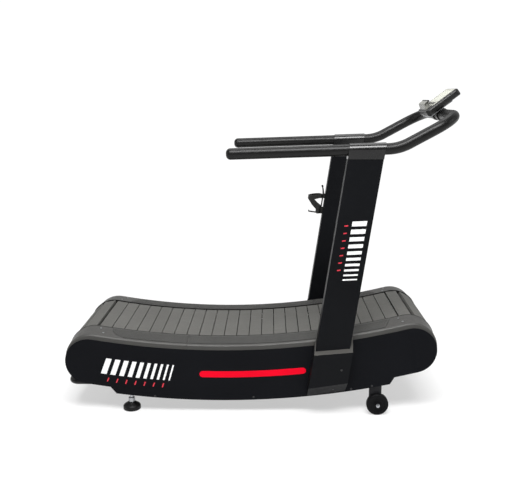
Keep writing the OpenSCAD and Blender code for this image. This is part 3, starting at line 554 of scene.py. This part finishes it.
BARS = [26, 24, 22, 20, 18, 15, 13, 11, 9, 7]
GAP = 17.0
for side, nm in ((-1, "right"), (1, "left")):
    v, f = [], []
    vr, fr = [], []
    # panel: bars run rearwards to forwards, following the arc
    deg = math.degrees(1 / 3665.0)
    x = 0.0
    total = sum(BARS) + GAP * (len(BARS) - 1)
    for w in BARS:
        a_lo, a_hi = -8.70 + x * deg, -8.70 + (x + w) * deg
        lean = 17 * deg
        flat_block(on_panel, ((a_lo, 3.7035), (a_hi, 3.7035), (a_hi + lean, 3.6270), (a_lo + lean, 3.6270)), 0.34602, 0.34635, side, v, f, 3)
        x += w + GAP
    for k in range(7):
        a_lo = -8.22 + k * 0.655
        flat_block(on_panel, ((a_lo, 3.7400), (a_lo + 0.085, 3.7400), (a_lo + 0.165, 3.7200), (a_lo + 0.08, 3.7200)), 0.34602, 0.34635, side, vr, fr, 1)
    # post: the same bars, running down the post
    s_ = 276.0
    k_ = 268.0 / total
    for w in BARS:
        s0, s1 = s_, s_ - w * k_
        flat_block(on_post, ((-11.0, s0 - 12), (-11.0, s1 - 12), (52.0, s1), (52.0, s0)), 0.40102, 0.40135, side, v, f, 1)
        s_ = s1 - GAP * k_
    for k in range(7):
        s0 = 246.0 - k * 33.5
        flat_block(on_post, ((-42.0, s0 - 4), (-42.0, s0 - 9.5), (-27.0, s0 - 5.5), (-27.0, s0)), 0.40102, 0.40135, side, vr, fr, 1)
    piece("slant_bars_" + nm, v, f, WHITE, "frame")
    piece("slant_dashes_" + nm, vr, fr, RED, "frame")


# ------------------------------------------------------------------ console details
con_c, con_s = math.cos(math.radians(37)), math.sin(math.radians(37))


def on_console(x, y, z):
    """Console frame in mm: x up the slope, z out of the face."""
    return Vector((XS + 0.717 + (x * con_c - z * con_s) * MM, y * MM, 1.385 + (x * con_s + z * con_c) * MM))


v, f = [], []
n = 28
for y in (-61.0, 61.0):
    for i in range(n):
        t = 2 * math.pi * i / n
        v.append(on_console(43.0 + 4.4 * math.cos(t), y, 25.6 + 4.4 * math.sin(t)))
for i in range(n):
    j = (i + 1) % n
    f.append((i, j, n + j, n + i))
f.append(tuple(range(n)))
f.append(tuple(range(n, 2 * n)))
ob = piece("ledge_roller", v, f, ROLLER, "console")
bevel(ob, 0.0012, 3)

v, f = [], []
path = [((128.0, -88.0), (128.0, -89.6)), ((7.0, -88.0), (5.4, -89.6)), ((7.0, 88.0), (5.4, 89.6)), ((128.0, 88.0), (128.0, 89.6))]
for z in (-38.6, -34.9):
    for (xi, yi), (xo, yo) in path:
        v.append(on_console(xi, yi, z))
        v.append(on_console(xo, yo, z))
m = 8
for i in range(3):
    a = 2 * i
    f += [(a, a + 1, a + 3, a + 2), (a + m, a + m + 2, a + m + 3, a + m + 1), (a, a + 2, a + m + 2, a + m), (a + 1, a + m + 1, a + m + 3, a + 3)]
f += [(0, m, m + 1, 1), (6, 7, m + 7, m + 6)]
ob = piece("console_plate_trim", v, f, "bright_steel", "console")
bevel(ob, 0.0004, 2)

# ------------------------------------------------------------------ tyres and foot pads, with rounded shoulders
wlo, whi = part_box("wheel_tyre_left")
WHEEL = ((wlo[0] + whi[0]) / 2, 0.0, (wlo[2] + whi[2]) / 2)
WK = (whi[2] - wlo[2]) * 500.0 - 50.0
tyre = [(36, 340), (40, 339.4), (44, 339.2), (46.4, 339.9), (48.4, 341.4), (49.6, 343.6), (50, 346.4), (50, 361.6), (49.6, 364.4), (48.4, 366.6),
        (46.4, 368.1), (44, 368.8), (40, 368.6), (36, 368)]
pad = [(0, 0), (35.2, 0), (36.6, 0.3), (39.0, 1.4), (40.5, 3.4), (41, 5.8), (41, 8.6), (40.4, 9.2), (40.4, 10.2), (41, 10.8), (41, 15.3), (40.6, 17.4),
       (39.6, 20.0), (37.6, 22.6), (34.0, 25.4), (29.0, 28.6), (23.4, 31.9), (20.2, 34.2), (18.4, 36.3), (17.6, 37.5), (16.4, 38.0), (0, 38.0)]
for side, nm in ((-1, "right"), (1, "left")):
    v, f = lathe([(r + WK if r > 45 else r, side * h) for r, h in tyre], WHEEL, "Y", 128)
    ob = piece("tyre_" + nm, v, f, "wheel_rubber", "wheel_" + nm, 50.0)
    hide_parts("wheel_tyre_" + nm)
    v, f = lathe(pad, (XS - 0.655, side * 0.300, 0.0), "Z", 96)
    ob = piece("pad_" + nm, v, f, "foot_rubber", "foot_" + nm, 50.0)
    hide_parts("foot_pad_" + nm)


# ------------------------------------------------------------------ stage
def plane(name, size, loc, mat):
    me = bpy.data.meshes.new(name)
    s = size / 2
    me.from_pydata([(-s, -s, 0), (s, -s, 0), (s, s, 0), (-s, s, 0)], [], [(0, 1, 2, 3)])
    ob = bpy.data.objects.new(name, me)
    ob.location = loc
    bpy.context.collection.objects.link(ob)
    me.materials.append(mat)
    return ob


fm = Mat("floor_pale", 0.9, 0.0, 0.05)
fm.color(fm.ramp(fm.noise(0.6, 2.0), [(0.3, (0.90, 0.90, 0.90)), (0.7, (0.93, 0.93, 0.93))]))
# the far floor fades to an even white, like a studio sweep
sep = fm.nt.nodes.new("ShaderNodeSeparateXYZ")
fm.link(fm.co.outputs["Object"], sep.inputs[0])
rr = fm.math("SQRT", fm.math("ADD", fm.math("MULTIPLY", sep.outputs[0], sep.outputs[0]), fm.math("MULTIPLY", sep.outputs[1], sep.outputs[1])))
fade = fm.span(rr, 0.5, 1.0, 1.3, 3.4)
emis = fm.nt.nodes.new("ShaderNodeEmission")
emis.inputs[0].default_value = (1.0, 1.0, 1.0, 1.0)
emis.inputs[1].default_value = 1.05
mixs = fm.nt.nodes.new("ShaderNodeMixShader")
fm.link(fade, mixs.inputs[0])
fm.link(fm.b.outputs[0], mixs.inputs[1])
fm.link(emis.outputs[0], mixs.inputs[2])
fm.link(mixs.outputs[0], fm.out.inputs[0])
plane("floor", 80.0, (0, 0, 0.0), fm.m)

world = bpy.data.worlds.new("studio")
bpy.context.scene.world = world
world.use_nodes = True
wt = world.node_tree
wt.nodes.clear()
w_out = wt.nodes.new("ShaderNodeOutputWorld")
w_mix = wt.nodes.new("ShaderNodeMixShader")
w_seen = wt.nodes.new("ShaderNodeBackground")
w_lit = wt.nodes.new("ShaderNodeBackground")
w_path = wt.nodes.new("ShaderNodeLightPath")
w_co = wt.nodes.new("ShaderNodeTexCoord")
w_sep = wt.nodes.new("ShaderNodeSeparateXYZ")
w_back = wt.nodes.new("ShaderNodeMapRange")
w_up = wt.nodes.new("ShaderNodeMapRange")
w_add = wt.nodes.new("ShaderNodeMath")
w_add.operation = "ADD"
w_seen.inputs[0].default_value = (1.0, 1.0, 1.0, 1.0)
w_seen.inputs[1].default_value = 1.05
w_lit.inputs[0].default_value = (1.0, 1.0, 1.0, 1.0)
wt.links.new(w_co.outputs["Generated"], w_sep.inputs[0])
for node, src, lo_, hi_, a_, b_ in ((w_back, w_sep.outputs[1], 0.06, 0.55, -0.1, 0.8), (w_up, w_sep.outputs[2], 0.0, 0.25, 0.1, 0.8)):
    node.inputs["From Min"].default_value = a_
    node.inputs["From Max"].default_value = b_
    node.inputs["To Min"].default_value = lo_
    node.inputs["To Max"].default_value = hi_
    wt.links.new(src, node.inputs["Value"])
wt.links.new(w_back.outputs[0], w_add.inputs[0])
wt.links.new(w_up.outputs[0], w_add.inputs[1])
wt.links.new(w_add.outputs[0], w_lit.inputs[1])
wt.links.new(w_path.outputs["Is Camera Ray"], w_mix.inputs[0])
wt.links.new(w_lit.outputs[0], w_mix.inputs[1])
wt.links.new(w_seen.outputs[0], w_mix.inputs[2])
wt.links.new(w_mix.outputs[0], w_out.inputs[0])


def area(name, loc, target, size, power, color=(1, 1, 1)):
    d = bpy.data.lights.new(name, "AREA")
    d.shape = "RECTANGLE"
    d.size, d.size_y = size
    d.energy = power
    d.color = color
    o = bpy.data.objects.new(name, d)
    o.location = loc
    o.rotation_mode = "QUATERNION"
    o.rotation_quaternion = (Vector(target) - Vector(loc)).to_track_quat("-Z", "Y")
    bpy.context.collection.objects.link(o)
    return o


area("key_strip", (0.1, -2.9, 4.6), (0.15, 0.0, 0.8), (3.8, 1.7), 330.0)
area("top_soft", (-0.1, 0.9, 4.4), (0.0, 0.0, 0.3), (3.4, 2.0), 60.0)
area("side_left", (-4.4, -0.4, 2.2), (0.1, 0.0, 0.6), (1.6, 2.0), 22.0)
area("side_right", (4.6, -0.8, 2.6), (0.4, 0.0, 0.8), (1.4, 2.0), 18.0)

bpy.context.scene.view_settings.view_transform = "Standard"
bpy.context.scene.view_settings.look = "None"
